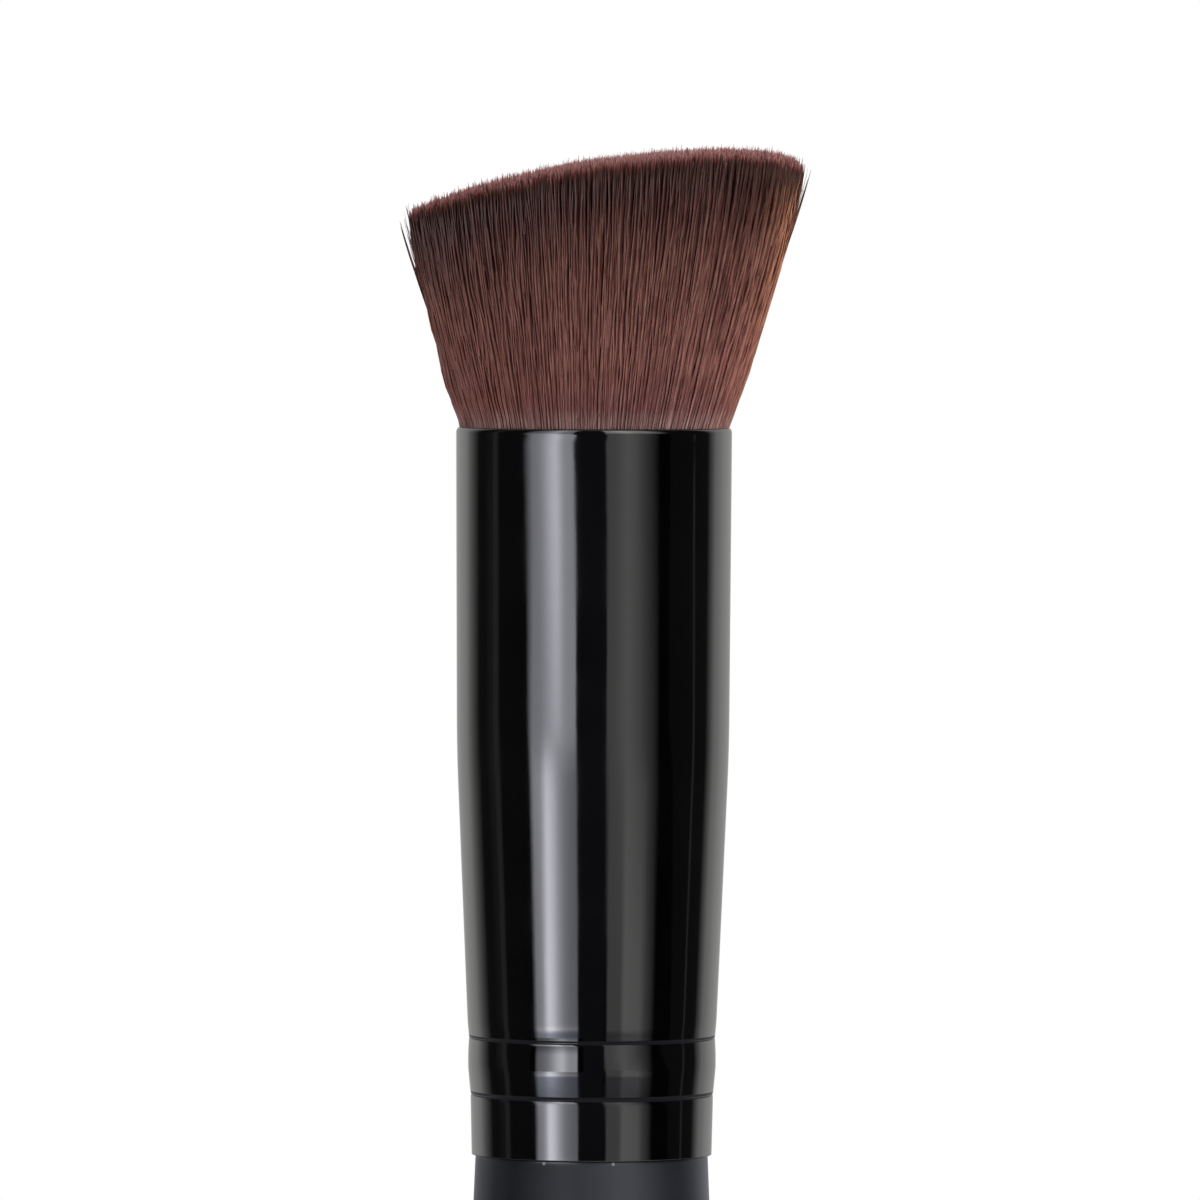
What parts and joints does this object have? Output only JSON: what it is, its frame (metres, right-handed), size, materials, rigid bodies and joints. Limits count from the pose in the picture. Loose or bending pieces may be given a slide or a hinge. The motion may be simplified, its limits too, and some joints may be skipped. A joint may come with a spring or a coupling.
{
  "type": "angled blending brush",
  "caption": "Hand brush for powder or cream: a dense round tuft cut to a slanted dome, in a long gloss ferrule with crimp rings, on a turned matt handle.",
  "frame": {"origin": "centre of the small flat on the end of the handle", "axes": "+Z along the brush towards the bristles; +X is the side on which the cut of the tuft is highest; the brush mirrors onto itself across the XZ plane"},
  "size_m": [0.0299, 0.0297, 0.1615],
  "materials": {
    "filament": "fine synthetic filament, red-brown with paler mauve streaks, reddish at the cut tips",
    "ferrule_lacquer": "gloss black lacquer on drawn aluminium",
    "handle_lacquer": "matt charcoal-black lacquer on turned wood",
    "thread": "undyed tying thread",
    "epoxy": "amber potting epoxy",
    "glue": "cured cream glue"
  },
  "bodies": {
    "root": {"bristle_tuft": "filament", "ferrule": "ferrule_lacquer", "handle": "handle_lacquer", "tying_thread": "thread", "root_plug": "epoxy", "tenon_glue_ring": "glue"}
  },
  "joints": []
}
